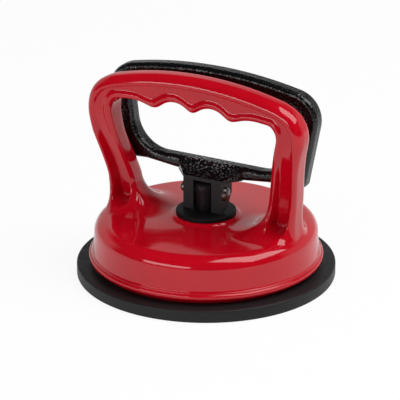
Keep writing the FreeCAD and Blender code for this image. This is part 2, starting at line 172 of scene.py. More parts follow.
# sunk front of the arch and flute of the leg
# where the sunk front starts and where it is fully sunk, from the inner and from the outer edge
PANEL_EDGES = np.array([2.1, 5.0, 4.3, 5.6])
FLUTE_EDGES = np.array([2.2, 4.8, 1.9, 5.0])
FLUTE_BLEND = (82, 68)    # heights between which the first edges turn into the second
FLUTE_DEPTHS = ([42, 50, 58, 66, 74], [3.9, 3.7, 3.1, 2.1, 1.1])     # heights, depths there
FRONT_FROM, FRONT_SPAN = 1.2, 0.8         # only points this near to the front are sunk

# feet
FLARE_START = 42.0
FLARE_INWARD, FLARE_ACROSS, FLARE_OUTWARD, FLARE_FAN = 18.0, 13.5, 2.0, 1.2
FLARE_POWER = 1.5
KNEE_ABOVE, KNEE_LIFT = 7.0, 0.2          # where the flare's curve bends: over the foot, over the shell
FOOT_MARGIN, FOOT_TRIM = 0.6, 0.05        # feet stay this far inside the wall, trimmed in such steps
SOFT_STEP, FOOT_SOFTNESS = 0.2, 7.0
SKIN_OVERLAP = 0.04       # how far a foot's outline lies under the shell's surface
FOOT_ROOT = 1.5           # how far a foot's closed end lies inside the shell's wall
POCKET_START, POCKET_END = 0.54, 0.74     # where along the flare the flute closes, in its middle
POCKET_ROUND = 0.20                       # how much sooner it closes at its sides
POCKET_LEAN = 0.13                        # how far its floor leans back on the way down

# mesh density and evening out
SEGMENTS = 192            # round pieces
ROUND_STEPS = 5           # roundings of turned profiles
GROOVE_STEPS, GRIP_STEPS, TOP_STEPS = 120, 500, 300
ARCH_STEPS, CORNER_STEPS, LEG_STEPS, FLARE_STEPS = 130, 30, 44, 40
OUTER_STEPS, BACK_STEPS, INNER_STEPS, FRONT_STEPS = 3, 10, 6, 44     # straight sides of a section
BACK_ROUND_STEPS, FRONT_ROUND_STEPS = (9, 8), (12, 10)               # its rounds, outer and inner
NORMAL_REACH = 6
INNER_PASSES, OUTER_PASSES = 10, 16


# ---------------------------------------------------------------- mesh helpers
def mesh_object(name, points, faces, mat):
    """Smooth shaded object from points in millimetres."""
    mesh = bpy.data.meshes.new(name)
    mesh.from_pydata([tuple(p * MM for p in q) for q in points], [], faces)
    mesh.polygons.foreach_set("use_smooth", [True] * len(mesh.polygons))
    mesh.update()
    obj = bpy.data.objects.new(name, mesh)
    bpy.context.scene.collection.objects.link(obj)
    mesh.materials.append(mat)
    return obj


def grid_faces(rows, columns, close_rows=False):
    """Quads between rings of points, each ring closed; close_rows joins the last ring to the first."""
    faces = []
    for i in range(rows if close_rows else rows - 1):
        for j in range(columns):
            here, there = i * columns, (i + 1) % rows * columns
            k = (j + 1) % columns
            faces.append((there + j, there + k, here + k, here + j))
    return faces


def arc_points(centre, radius, start, end, steps):
    """Points of an arc in the (radius, height) or (x, z) plane, angles in degrees."""
    angles = np.radians(np.linspace(start, end, steps + 1))
    return [(centre[0] + radius * math.cos(a), centre[1] + radius * math.sin(a)) for a in angles]


def spun(profile):
    """Points and faces of a closed (radius, height) profile, upwards on its outer side, turned about Z."""
    points = []
    for k in range(SEGMENTS):
        a = 2 * math.pi * k / SEGMENTS
        points += [(r * math.cos(a), r * math.sin(a), z) for r, z in profile]
    return points, grid_faces(SEGMENTS, len(profile), close_rows=True)


def rounded_profile(corners):
    """Closed profile from (radius, height, rounding) corners; a rounding takes up to half of each side."""
    profile = []
    count = len(corners)
    for i in range(count):
        before, here, after = (np.array(corners[(i + k) % count][:2], float) for k in (-1, 0, 1))
        rounding = corners[i][2]
        if rounding <= 0:
            profile.append(tuple(here))
            continue
        to_before, to_after = np.linalg.norm(before - here), np.linalg.norm(after - here)
        u, v = (before - here) / to_before, (after - here) / to_after
        half = math.acos(max(-1, min(1, float(u @ v)))) / 2
        reach = min(rounding / math.tan(half), 0.49 * to_before, 0.49 * to_after)
        p, q = here + u * reach, here + v * reach
        for t in np.linspace(0, 1, ROUND_STEPS + 1):
            profile.append(tuple((1 - t) ** 2 * p + 2 * t * (1 - t) * here + t ** 2 * q))
    return profile


def close_axis(obj):
    """Welds the points that a turned profile leaves round the Z axis."""
    work = bmesh.new()
    work.from_mesh(obj.data)
    bmesh.ops.remove_doubles(work, verts=work.verts, dist=3 * AXIS_GAP * MM)
    work.to_mesh(obj.data)
    work.free()


def smoothstep(low, high, value):
    """Share from 0 at low to 1 at high, level at both; low may be the larger one."""
    t = np.clip((value - low) / (high - low), 0, 1)
    return t * t * (3 - 2 * t)


# ---------------------------------------------------------------- materials
RED_DEEP, RED_LIGHT = (0.44, 0.0012, 0.0085), (0.51, 0.0018, 0.0115)
COAT_BLACK, COAT_GLINT = (0.002, 0.002, 0.0028), (0.18, 0.172, 0.19)
WRINKLE_HEIGHT = 0.00046
WRINKLE_FROM, WRINKLE_FULL = 0.0466, 0.0476      # heights; the milled cheeks below are smooth
ARM_FROM, ARM_FULL = 0.060, 0.068                # heights; the coat is finer above the block
BLOCK_EDGE, BAR_FROM = 0.013, 0.019              # and to the left and right of it
GRAIN_STRENGTHS = (0.06, 1.0, 0.5)               # cheeks, block, arms
COAT_ROUGHNESS = (0.6, 0.13, 0.24)
# the grain's tops on the block are painted pale, in place of glints that the lights don't give there
GLINT_TOPS = (0.55, 0.72)                        # noise levels where they start and are full
GLINT_ACROSS, GLINT_UP = (0.008, 0.015), (0.0480, 0.0515)


def material(name, base, roughness, metallic=0.0, specular=0.5):
    """Principled material; returns it, its node tree and its shader."""
    mat = bpy.data.materials.new(name)
    mat.use_nodes = True
    shader = mat.node_tree.nodes["Principled BSDF"]
    shader.inputs["Base Color"].default_value = (*base, 1)
    shader.inputs["Roughness"].default_value = roughness
    shader.inputs["Metallic"].default_value = metallic
    shader.inputs["Specular IOR Level"].default_value = specular
    return mat, mat.node_tree, shader


def object_coordinates(tree):
    """Output of a new Texture Coordinate node."""
    return tree.nodes.new("ShaderNodeTexCoord").outputs["Object"]


def noise(tree, scale, detail):
    """Noise on Object coordinates."""
    node = tree.nodes.new("ShaderNodeTexNoise")
    node.inputs["Scale"].default_value = scale
    node.inputs["Detail"].default_value = detail
    tree.links.new(object_coordinates(tree), node.inputs["Vector"])
    return node.outputs["Fac"]


def add_bump(tree, shader, height, strength, distance):
    """Bump on the shader; returns its strength socket."""
    bump = tree.nodes.new("ShaderNodeBump")
    bump.inputs["Strength"].default_value = strength
    bump.inputs["Distance"].default_value = distance
    tree.links.new(height, bump.inputs["Height"])
    tree.links.new(bump.outputs["Normal"], shader.inputs["Normal"])
    return bump.inputs["Strength"]


def ramp(tree, source, *stops):
    """Colour of a value, from (value, colour) stops."""
    node = tree.nodes.new("ShaderNodeValToRGB")
    for element, (place, colour) in zip(node.color_ramp.elements, stops):
        element.position = place
        element.color = (*colour, 1)
    tree.links.new(source, node.inputs["Fac"])
    return node.outputs["Color"]


def calculated(tree, operation, *values):
    """Result of a Math node; each value is a number or another node's output."""
    node = tree.nodes.new("ShaderNodeMath")
    node.operation = operation
    for socket, value in zip(node.inputs, values):
        if isinstance(value, (int, float)):
            socket.default_value = value
        else:
            tree.links.new(value, socket)
    return node.outputs[0]


def mapped(tree, source, from_low, from_high, low, high):
    """A value carried from one range to another, held at its ends; high may be another node's output."""
    node = tree.nodes.new("ShaderNodeMapRange")
    for name, value in (("From Min", from_low), ("From Max", from_high), ("To Min", low)):
        node.inputs[name].default_value = value
    if isinstance(high, (int, float)):
        node.inputs["To Max"].default_value = high
    else:
        tree.links.new(high, node.inputs["To Max"])
    tree.links.new(source, node.inputs["Value"])
    return node.outputs["Result"]


def grained_roughness(tree, shader, grain, low, high):
    """Roughness that follows the grain from low to high."""
    tree.links.new(ramp(tree, grain, (0.3, (low,) * 3), (0.7, (high,) * 3)), shader.inputs["Roughness"])


def red_enamel():
    """Glossy paint with a faint change of tint and a faint flow in its surface."""
    mat, tree, shader = material("red_enamel", RED_DEEP, 0.08)
    tint = ramp(tree, noise(tree, scale=45, detail=3), (0.3, RED_DEEP), (0.7, RED_LIGHT))
    tree.links.new(tint, shader.inputs["Base Color"])
    add_bump(tree, shader, noise(tree, scale=160, detail=2), strength=0.04, distance=0.0005)
    return mat


def black_coat():
    """Wrinkle coat: glossy over a raised grain on the block, finer on bar and arms, smooth on the cheeks; the
    grain's tops on the block carry a painted highlight.
    """
    mat, tree, shader = material("black_coat", COAT_BLACK, COAT_ROUGHNESS[1])
    grain = noise(tree, scale=1000, detail=0)
    strength = add_bump(tree, shader, grain, strength=GRAIN_STRENGTHS[1], distance=WRINKLE_HEIGHT)
    split = tree.nodes.new("ShaderNodeSeparateXYZ")
    tree.links.new(object_coordinates(tree), split.inputs["Vector"])
    height = split.outputs["Z"]
    across = calculated(tree, "ABSOLUTE", split.outputs["X"])
    away = calculated(tree, "MAXIMUM", mapped(tree, height, ARM_FROM, ARM_FULL, 0, 1),
                      mapped(tree, across, BLOCK_EDGE, BAR_FROM, 0, 1))
    for socket, (cheeks, block, arms) in (
        (strength, GRAIN_STRENGTHS), (shader.inputs["Roughness"], COAT_ROUGHNESS),
    ):
        upper = mapped(tree, away, 0, 1, block, arms)
        tree.links.new(mapped(tree, height, WRINKLE_FROM, WRINKLE_FULL, cheeks, upper), socket)
    # painted highlight: the grain's tops on the block are painted pale, as glints
    glint = mapped(tree, grain, *GLINT_TOPS, 0, 1)
    for share in (mapped(tree, across, *GLINT_ACROSS, 1, 0), mapped(tree, height, *GLINT_UP, 0, 1),
                  mapped(tree, height, ARM_FROM, ARM_FULL, 1, 0)):
        glint = calculated(tree, "MULTIPLY", glint, share)
    tree.links.new(ramp(tree, glint, (0, COAT_BLACK), (1, COAT_GLINT)), shader.inputs["Base Color"])
    return mat


def pad_rubber():
    """Matt rubber with a fine grain."""
    mat, tree, shader = material("pad_rubber", (0.008, 0.0075, 0.0085), 0.5, specular=0.32)
    grain = noise(tree, scale=600, detail=4)
    grained_roughness(tree, shader, grain, 0.42, 0.58)
    add_bump(tree, shader, grain, strength=0.15, distance=0.0003)
    return mat


def black_bush():
    """Dull moulded plastic."""
    mat, tree, shader = material("black_bush", (0.004, 0.004, 0.0045), 0.55, specular=0.2)
    add_bump(tree, shader, noise(tree, scale=800, detail=2), strength=0.12, distance=0.0002)
    return mat


def steel(name, base, roughness):
    """Metal whose gloss varies finely round that roughness."""
    mat, tree, shader = material(name, base, roughness, metallic=1.0)
    grained_roughness(tree, shader, noise(tree, scale=1500, detail=2), roughness * 0.8, roughness * 1.3)
    return mat


RED = red_enamel()
COAT = black_coat()
RUBBER = pad_rubber()
BUSH = black_bush()
DARK_STEEL = steel("dark_steel", (0.022, 0.019, 0.021), 0.45)
ZINC = steel("zinc_steel", (0.62, 0.62, 0.64), 0.32)
SPRING = steel("spring_steel", (0.45, 0.45, 0.47), 0.3)
PIN = steel("pin_steel", (0.20, 0.19, 0.185), 0.34)


# ---------------------------------------------------------------- casting: shell
def shell_mesh():
    """Closed section of the shell, walls and boss, spun about Z."""
    flange_edge = FLANGE_RADIUS - FLANGE_ROUND
    profile = [(RIM_INNER, PAD_RIM), (RIM_OUTER, PAD_RIM), (RIM_OUTER, FLANGE_BOTTOM),
               (FLANGE_RADIUS - 1, FLANGE_BOTTOM)]
    profile += arc_points((flange_edge, FLANGE_BOTTOM + FLANGE_ROUND), FLANGE_ROUND, -80, 0, 5)
    profile += arc_points((flange_edge, FLANGE_TOP - FLANGE_ROUND), FLANGE_ROUND, 0, 90, 6)
    profile += [(WALL_FOOT_RADIUS + out, FLANGE_TOP + up) for out, up in WALL_FILLET]
    profile += [(WALL_FOOT_RADIUS, WALL_FOOT), (WALL_FOOT_RADIUS - 0.2, WALL_FOOT + 3),
                (WALL_TOP_RADIUS + 0.1, WALL_TOP - 2.5)]
    profile += arc_points((SHOULDER_RADIUS, WALL_TOP), SHOULDER_ROUND, 0, 84, 16)
    profile += [(SHOULDER_RADIUS - 0.5, SHOULDER_HEIGHT - 0.01), (SHOULDER_RADIUS - 6, SHOULDER_HEIGHT + 0.24)]
    profile += [(COLLAR_RADIUS + out, CROWN + up) for out, up in COLLAR_FILLET]
    profile += [(COLLAR_RADIUS - 0.1, COLLAR_TOP - 0.1), (COLLAR_RADIUS - 0.5, COLLAR_TOP)]
    profile += [(BUSH_SLEEVE, COLLAR_TOP), (BUSH_SLEEVE, BUSH_BOTTOM), (BOSS_RADIUS, BUSH_BOTTOM),
                (BOSS_RADIUS, CROWN - SHELL_WALL), (SHOULDER_RADIUS - 1, SHOULDER_HEIGHT - SHELL_WALL),
                (WALL_TOP_RADIUS - SHELL_WALL, WALL_TOP - 1), (RIM_INNER, WALL_FOOT - 3)]
    return spun(profile)


def shell_height(x, y):
    """Height of the shell's outer surface at (x, y)."""
    r = math.hypot(x, y)
    if r <= SHOULDER_RADIUS:
        t = (r - COLLAR_RADIUS - 1) / (SHOULDER_RADIUS - COLLAR_RADIUS - 1)
        return CROWN + (SHOULDER_HEIGHT - CROWN) * min(1, max(0, t))
    return WALL_TOP + math.sqrt(max(0, SHOULDER_ROUND ** 2 - (r - SHOULDER_RADIUS) ** 2))


# ---------------------------------------------------------------- casting: handle
def corner_arc(a, b, c, radius, steps):
    """Arc of that radius that rounds the corner b between the lines a-b and b-c, (x, z) points."""
    a, b, c = (np.array(p, float) for p in (a, b, c))
    u = (a - b) / np.linalg.norm(a - b)
    v = (c - b) / np.linalg.norm(c - b)
    half = math.acos(float(u @ v)) / 2
    centre = b + (u + v) / np.linalg.norm(u + v) * radius / math.sin(half)
    first = b + u * radius / math.tan(half) - centre
    last = b + v * radius / math.tan(half) - centre
    start, end = math.atan2(first[1], first[0]), math.atan2(last[1], last[0])
    return [centre + radius * np.array([math.cos(t), math.sin(t)]) for t in np.linspace(start, end, steps + 1)]


def resample(points, count):
    """count points evenly spaced along a polyline."""
    points = np.array(points, float)
    length = np.concatenate([[0], np.cumsum(np.linalg.norm(np.diff(points, axis=0), axis=1))])
    along = np.linspace(0, length[-1], count)
    return np.column_stack([np.interp(along, length, points[:, k]) for k in (0, 1)])


def top_height(x):
    """Top of the handle at x, an arc about the Z axis."""
    return HANDLE_TOP - CROWN_ARC + np.sqrt(CROWN_ARC ** 2 - x ** 2)


def circle_through(a, b, c):
    """Centre and radius of the circle through three (x, z) points."""
    a, b, c = (np.array(p, float) for p in (a, b, c))
    rows = np.array([b - a, c - a]) * 2
    centre = np.linalg.solve(rows, [b @ b - a @ a, c @ c - a @ a])
    return centre, float(np.linalg.norm(a - centre))


def upper_arc(a, b, c, count):
    """Points from a to c along the upper half of the circle through a, b and c."""
    centre, radius = circle_through(a, b, c)
    x = np.linspace(a[0], c[0], count)
    return np.column_stack([x, centre[1] + np.sqrt(radius ** 2 - (x - centre[0]) ** 2)])


def eased(line, reach):
    """Polyline with its corners rounded: each point becomes a weighted mean over reach to each side.

    The line is mirrored at its first point, which is on the Z axis, and turned about its last one.
    """
    count = len(line)
    step = np.linalg.norm(np.diff(line, axis=0), axis=1).mean()
    half = max(1, int(reach / step))
    weights = np.hanning(2 * half + 1)
    weights /= weights.sum()
    before = line[half:0:-1] * (-1, 1)
    after = 2 * line[-1] - line[-2:-half - 2:-1]
    padded = np.vstack([before, line, after])
    return np.column_stack([np.convolve(padded[:, k], weights, mode="valid") for k in (0, 1)])[:count]


def relaxed(line, passes):
    """Line of stations evened out; it is mirrored at its first station and keeps its last."""
    for _ in range(passes):
        around = np.vstack([line[1:2] * (-1, 1), line, line[-1:]])
        line = np.vstack([(around[:-2] + 2 * around[1:-1] + around[2:])[:-1] / 4, line[-1:]])
    return line


def leg_x(z):
    """Inner and outer x of the right leg at the height z, below the arch."""
    down = ARCH_FOOT - z
    length = ARCH_FOOT - LEG_FOOT
    outer = HALF_WIDTH - SIDE_LEAN * (WIDE_HEIGHT - ARCH_FOOT) - SIDE_LEAN * down
    outer += (SIDE_LEAN - OUTER_FOOT_LEAN) * down ** 2 / (2 * length)
    inner = HOLE_HALF - HOLE_LEAN * (HOLE_END - ARCH_FOOT) - INNER_LEAN * down
    return inner, outer


def lean_y(z):
    """Middle of the handle's depth at the height z."""
    return HANDLE_Y * (1 - smoothstep(ARCH_FOOT, LEG_CENTRED, z))


def grip_line():
    """Underside of the grip from its middle cusp to the hole's corner, and that corner's arc."""
    cusps = [(0, GROOVE_TOP - GROOVE_DEPTH), (GROOVE_PITCH, GROOVE_TOP - GROOVE_DEPTH - CUSP_DROP)]
    first = upper_arc(cusps[0], (GROOVE_PITCH / 2, GROOVE_TOP), cusps[1], GROOVE_STEPS)
    end = (HOLE_HALF, HOLE_END)
    wide = (GROOVE_PITCH * END_GROOVE_AT, END_GROOVE_TOP)
    centre, radius = circle_through(cusps[1], wide, end)
    tangent = np.array([end[1] - centre[1], centre[0] - end[0]]) / radius
    leg = (leg_x(ARCH_FOOT)[0], ARCH_FOOT)
    corner = np.array(corner_arc(np.array(end) - tangent, end, leg, HOLE_CORNER, CORNER_STEPS))
    last = upper_arc(cusps[1], wide, end, 2 * GROOVE_STEPS)
    last = last[last[:, 0] < corner[0, 0] - 0.5]
    line = eased(resample(np.vstack([first[:-1], last, corner[:1]]), GRIP_STEPS), CUSP_EASE)
    line[-1] = corner[0]
    return line, corner


def side_lines():
    """Matching stations along the inside and outside of the handle's right half: (x, z) each."""
    side_top = (HALF_WIDTH, HANDLE_TOP - HALF_WIDTH ** 2 / (2 * CROWN_ARC))
    side_foot = (leg_x(ARCH_FOOT)[1], ARCH_FOOT)
    before = (HALF_WIDTH - 4, top_height(HALF_WIDTH - 4))
    outer_corner = np.array(corner_arc(before, side_top, side_foot, OUTER_CORNER, CORNER_STEPS))
    top_x = np.linspace(0, outer_corner[0, 0], TOP_STEPS)[:-1]
    top = np.vstack([np.column_stack([top_x, top_height(top_x)]), outer_corner[:1]])
    grip, inner_corner = grip_line()
    lines = []
    for side, (arch, corner) in enumerate(((grip, inner_corner), (top, outer_corner))):
        heights = np.linspace(corner[-1, 1], FLARE_START, LEG_STEPS + 1)
        leg = np.column_stack([leg_x(heights)[side], heights])
        leg[0] = corner[-1]
        lines.append(np.vstack([resample(arch, ARCH_STEPS + 1)[:-1], corner[:-1], leg]))
    return relaxed(lines[0], INNER_PASSES), relaxed(lines[1], OUTER_PASSES)


def section(width, back_rounds, front_rounds, inner_crown):
    """Rounded rectangle in (a, b): a from the inner side (0) to the outer side (width), b the depth.

    Each pair of rounds is (outer, inner); inner_crown is how far the inner side falls back at the front
    and the back. Starts in the middle of the outer side and runs over the back, the inner side and the
    front.
    """
    points = []

    def side(p, q, steps):
        for k in range(steps):
            t = k / steps
            points.append((p[0] + (q[0] - p[0]) * t, p[1] + (q[1] - p[1]) * t))

    def corner(centre, radius, start, steps, deep):
        for k in range(steps):
            a = math.radians(start + 90 * k / steps)
            points.append((centre[0] + radius * math.cos(a), centre[1] + deep * math.sin(a)))

    w, h = width, HANDLE_HALF
    back_out, back_in = back_rounds
    front_out, front_in = front_rounds
    back_deep, front_deep = OUTER_CROWN * back_out, OUTER_CROWN * front_out
    side((w, 0), (w, h - back_deep), OUTER_STEPS)
    corner((w - back_out, h - back_deep), back_out, 0, BACK_ROUND_STEPS[0], back_deep)
    side((w - back_out, h), (back_in, h), BACK_STEPS)
    corner((back_in, h - back_in), back_in, 90, BACK_ROUND_STEPS[1], back_in)
    side((0, h - back_in), (0, -h + front_in), INNER_STEPS)
    corner((front_in, -h + front_in), front_in, 180, FRONT_ROUND_STEPS[1], front_in)
    side((front_in, -h), (w - front_out, -h), FRONT_STEPS)
    corner((w - front_out, -h + front_deep), front_out, 270, FRONT_ROUND_STEPS[0], front_deep)
    side((w, -h + front_deep), (w, 0), OUTER_STEPS)
    points = np.array(points)
    points[:, 0] += inner_crown * (points[:, 1] / h) ** 2 * (1 - points[:, 0] / w)
    return points


def front_channel(profile, width, z):
    """Share of its depth to which each point of a profile at the height z is sunk."""
    a, b = profile.T
    crest_inner, floor_inner, crest_outer, floor_outer = (
        PANEL_EDGES + smoothstep(*FLUTE_BLEND, z) * (FLUTE_EDGES - PANEL_EDGES))
    front = np.clip((-b - (HANDLE_HALF - FRONT_FROM)) / FRONT_SPAN, 0, 1)
    return smoothstep(crest_inner, floor_inner, a) * smoothstep(crest_outer, floor_outer, width - a) * front


def profile_normals(profile):
    """Outward directions of a closed (a, b) profile, smoothed round its corners."""
    edge = np.roll(profile, -1, axis=0) - np.roll(profile, 1, axis=0)
    normal = np.column_stack([edge[:, 1], -edge[:, 0]])
    weights = np.hanning(2 * NORMAL_REACH + 1)
    smooth = sum(np.roll(normal / np.linalg.norm(normal, axis=1)[:, None], shift, axis=0) * weight
                 for shift, weight in zip(range(-NORMAL_REACH, NORMAL_REACH + 1), weights))
    return smooth / np.linalg.norm(smooth, axis=1)[:, None]


def softened(ring, reach):
    """Closed ring of (x, y) points, each the weighted mean of the ring over reach to each side."""
    closed = np.vstack([ring, ring[:1]])
    length = np.concatenate([[0], np.cumsum(np.linalg.norm(np.diff(closed, axis=0), axis=1))])
    count = int(length[-1] / SOFT_STEP)
    even = np.linspace(0, length[-1], count, endpoint=False)
    half = int(reach / SOFT_STEP)
    weights = np.hanning(2 * half + 1) / np.hanning(2 * half + 1).sum()
    columns = []
    for k in (0, 1):
        value = np.interp(even, length, closed[:, k])
        value = np.convolve(np.concatenate([value[-half:], value, value[:half]]), weights, mode="valid")
        columns.append(np.interp(length[:-1], even, value, period=length[-1]))
    return np.column_stack(columns)


def foot_rings(last, profile, width, channel):
    """Rings that flare from the leg's last section out into the shell; the flute ends in a pocket there."""
    radial = (profile - (width / 2, 0)) / (width / 2, HANDLE_HALF)
    radial /= np.linalg.norm(radial, axis=1)[:, None]
    direction = profile_normals(profile) + FLARE_FAN * radial
    direction /= np.linalg.norm(direction, axis=1)[:, None]
    inward, across = np.clip(-direction[:, 0], 0, 1), np.abs(direction[:, 1])
    outward = np.clip(direction[:, 0], 0, 1)
    reach = FLARE_INWARD * inward ** FLARE_POWER + FLARE_ACROSS * across ** FLARE_POWER
    reach += FLARE_OUTWARD * outward
    shift = np.array([leg_x(LEG_FOOT + KNEE_ABOVE)[0] - leg_x(FLARE_START)[0], -lean_y(FLARE_START)])
    feet = last[:, :2] + shift
    ends = []
    for foot, heading, far in zip(feet, direction, reach):
        while math.hypot(*(foot + heading * far)) > WALL_TOP_RADIUS - FOOT_MARGIN and far > 0:
            far -= FOOT_TRIM
        ends.append(foot + heading * far)
    ends = softened(np.array(ends), FOOT_SOFTNESS)
    ends = np.column_stack([ends, [shell_height(x, y) - SKIN_OVERLAP for x, y in ends]])
    knees = np.column_stack([feet, [shell_height(x, y) + KNEE_LIFT for x, y in feet]])
    rings = []
    for t in np.linspace(0, 1, FLARE_STEPS + 1)[1:]:
        ring = (1 - t) ** 2 * last + 2 * t * (1 - t) * knees + t ** 2 * ends
        depth = FLUTE_DEPTHS[1][0] + FLARE_ACROSS * t ** 2 + POCKET_LEAN * (FLARE_START - ring[:, 2])
        sooner = POCKET_ROUND * (4 * profile[:, 0] / width - 2) ** 2
        ring[:, 1] += channel * depth * (1 - smoothstep(POCKET_START, POCKET_END, t + sooner))
        rings.append(ring)
    rings.append(ends - (0, 0, FOOT_ROOT))
    return rings


def handle_mesh():
    """Both legs and the grip as one skin of closed rings, from foot to foot."""
    rows = []
    for inside, outside in zip(*side_lines()):
        direction = outside - inside
        width = float(np.linalg.norm(direction))
        direction = direction / width
        middle_z = (inside[1] + outside[1]) / 2
        down = min(1, max(0, (LEG_ROUNDS_FROM - middle_z) / LEG_ROUNDS_SPAN))
        back_rounds = (RIM_ROUND, GRIP_ROUND + LEG_BACK_MORE * down)
        front_rounds = (RIM_ROUND - LEG_RIM_LESS * down, GRIP_ROUND - LEG_INNER_LESS * down)
        profile = section(width, back_rounds, front_rounds, INNER_CROWN * down)
        channel = front_channel(profile, width, middle_z)
        a, b = profile.T
        height = inside[1] + a * direction[1]
        smooth = np.column_stack([inside[0] + a * direction[0], lean_y(height) + b, height])
        rows.append(smooth + np.outer(channel * np.interp(middle_z, *FLUTE_DEPTHS), (0, 1, 0)))
    rows += foot_rings(smooth, profile, width, channel)
    right = np.array(rows)
    left = right[:0:-1] * (-1, 1, 1)
    whole = np.concatenate([left, right])
    rows, columns = whole.shape[:2]
    faces = grid_faces(rows, columns)
    faces += [tuple(range(columns)), tuple(range((rows - 1) * columns, rows * columns))[::-1]]
    return whole.reshape(-1, 3), faces


def casting():
    """Shell and handle in one mesh."""
    shell_points, shell_faces = shell_mesh()
    handle_points, handle_faces = handle_mesh()
    start = len(shell_points)
    points = list(map(tuple, shell_points)) + list(map(tuple, handle_points))
    faces = shell_faces + [tuple(start + i for i in f) for f in handle_faces]
    obj = mesh_object("casting_skin", points, faces, RED)
    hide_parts("body_casting")
    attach(obj, "body")


# ---------------------------------------------------------------- pad and bush
def pad():
    """Sealing rim, which stays with the casting, and the middle, which the stem pulls up and lets down."""
    drop = (PAD_STEP - PAD_WAIST) / (PAD_STEP - PLATE_SEAT)
    waist_top = PAD_RIM + (PAD_TOP - PAD_RIM) * drop
    rim = [(PAD_WAIST, 0, 0), (PAD_RADIUS, 0, PAD_ROUND), (PAD_RADIUS, PAD_RIM, PAD_ROUND),
           (PAD_STEP, PAD_RIM, PAD_TOP_ROUND), (PAD_WAIST, waist_top, 0)]
    middle = [(AXIS_GAP, PAD_LIFT, 0), (DISH_TOP_RADIUS, PAD_LIFT, DISH_ROUND), (DISH_RADIUS, 0, DISH_ROUND),
              (PAD_WAIST, 0, 0), (PAD_WAIST, waist_top, 0), (PLATE_SEAT, PAD_TOP, PAD_TOP_ROUND),
              (STUD_WELL, PAD_TOP, 0), (STUD_WELL, WELL_FLOOR, 0), (AXIS_GAP, WELL_FLOOR, 0)]
    for name, corners in (("pad_rim", rim), ("pad_middle", middle)):
        obj = mesh_object(name, *spun(rounded_profile(corners)), RUBBER)
        close_axis(obj)
        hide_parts("suction_pad")
        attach(obj, "body")
    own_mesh(obj)


def bush():
    """Bush with its flange on the collar."""
    corners = [(STEM_BORE, BUSH_BOTTOM, 0), (BUSH_SLEEVE, BUSH_BOTTOM, 0.3), (BUSH_SLEEVE, COLLAR_TOP, 0),
               (BUSH_RADIUS, COLLAR_TOP, 0.2), (BUSH_RADIUS, BUSH_TOP, 0.5), (STEM_BORE, BUSH_TOP, 0.4)]
    obj = mesh_object("bush_skin", *spun(rounded_profile(corners)), BUSH)
    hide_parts("guide_bush")
    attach(obj, "body")


# ---------------------------------------------------------------- spring and ribs
def node_tree(name, inputs):
    """Geometry node tree with named inputs; returns the tree and its group input node."""
    tree = bpy.data.node_groups.new(name, "GeometryNodeTree")
    for label, kind in inputs:
        tree.interface.new_socket(label, in_out="INPUT", socket_type=kind)
    tree.interface.new_socket("Geometry", in_out="OUTPUT", socket_type="NodeSocketGeometry")
    return tree, tree.nodes.new("NodeGroupInput")


def finished(tree, geometry, mat):
    """Ends a tree with real geometry and its material."""
    real = tree.nodes.new("GeometryNodeRealizeInstances")
    painted = tree.nodes.new("GeometryNodeSetMaterial")
    out = tree.nodes.new("NodeGroupOutput")
    painted.inputs["Material"].default_value = mat
    tree.links.new(geometry, real.inputs[0])
    tree.links.new(real.outputs[0], painted.inputs["Geometry"])
    tree.links.new(painted.outputs[0], out.inputs[0])


def from_nodes(name, tree, values):
    """Plain mesh object that the tree makes with those input values."""
    maker = bpy.data.objects.new(name + "_maker", bpy.data.meshes.new(name + "_maker"))
    bpy.context.scene.collection.objects.link(maker)
    modifier = maker.modifiers.new("shape", "NODES")
    modifier.node_group = tree
    for socket in tree.interface.items_tree:
        if socket.item_type == "SOCKET" and socket.in_out == "INPUT":
            modifier[socket.identifier] = values[socket.name]
    bpy.context.view_layer.update()
    depsgraph = bpy.context.evaluated_depsgraph_get()
    mesh = bpy.data.meshes.new_from_object(maker.evaluated_get(depsgraph), depsgraph=depsgraph)
    bpy.data.objects.remove(maker)
    mesh.name = name
    obj = bpy.data.objects.new(name, mesh)
    bpy.context.scene.collection.objects.link(obj)
    return obj


def spring():
    """Return spring: round wire along a spiral between the plate and the spring washer."""
    tree, sizes = node_tree("wound_spring", [
        ("Coils", "NodeSocketFloat"), ("Coil Radius", "NodeSocketFloat"), ("Free Height", "NodeSocketFloat"),
        ("Wire Radius", "NodeSocketFloat"), ("Bottom", "NodeSocketFloat")])
    link = tree.links.new
    path = tree.nodes.new("GeometryNodeCurveSpiral")
    path.inputs["Resolution"].default_value = COIL_STEPS
    link(sizes.outputs["Coils"], path.inputs["Rotations"])
    link(sizes.outputs["Coil Radius"], path.inputs["Start Radius"])
    link(sizes.outputs["Coil Radius"], path.inputs["End Radius"])
    link(sizes.outputs["Free Height"], path.inputs["Height"])
    wire = tree.nodes.new("GeometryNodeCurvePrimitiveCircle")
    wire.inputs["Resolution"].default_value = WIRE_STEPS
    link(sizes.outputs["Wire Radius"], wire.inputs["Radius"])
    drawn = tree.nodes.new("GeometryNodeCurveToMesh")
    drawn.inputs["Fill Caps"].default_value = True
    link(path.outputs[0], drawn.inputs["Curve"])
    link(wire.outputs[0], drawn.inputs["Profile Curve"])
    lift = tree.nodes.new("ShaderNodeCombineXYZ")
    link(sizes.outputs["Bottom"], lift.inputs["Z"])
    placed = tree.nodes.new("GeometryNodeTransform")
    link(drawn.outputs[0], placed.inputs["Geometry"])
    link(lift.outputs[0], placed.inputs["Translation"])
    finished(tree, placed.outputs[0], SPRING)
    low, high = box_mm("return_spring")
    wire_radius = SPRING_WIRE / 2
    obj = from_nodes("spring_wire", tree, {
        "Coils": SPRING_COILS, "Coil Radius": (high[0] - wire_radius) * MM, "Wire Radius": wire_radius * MM,
        "Free Height": (high[2] - low[2] - SPRING_WIRE) * MM, "Bottom": (low[2] + wire_radius) * MM})
    obj.data.polygons.foreach_set("use_smooth", [len(p.vertices) == 4 for p in obj.data.polygons])
    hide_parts("return_spring")
    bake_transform(obj)


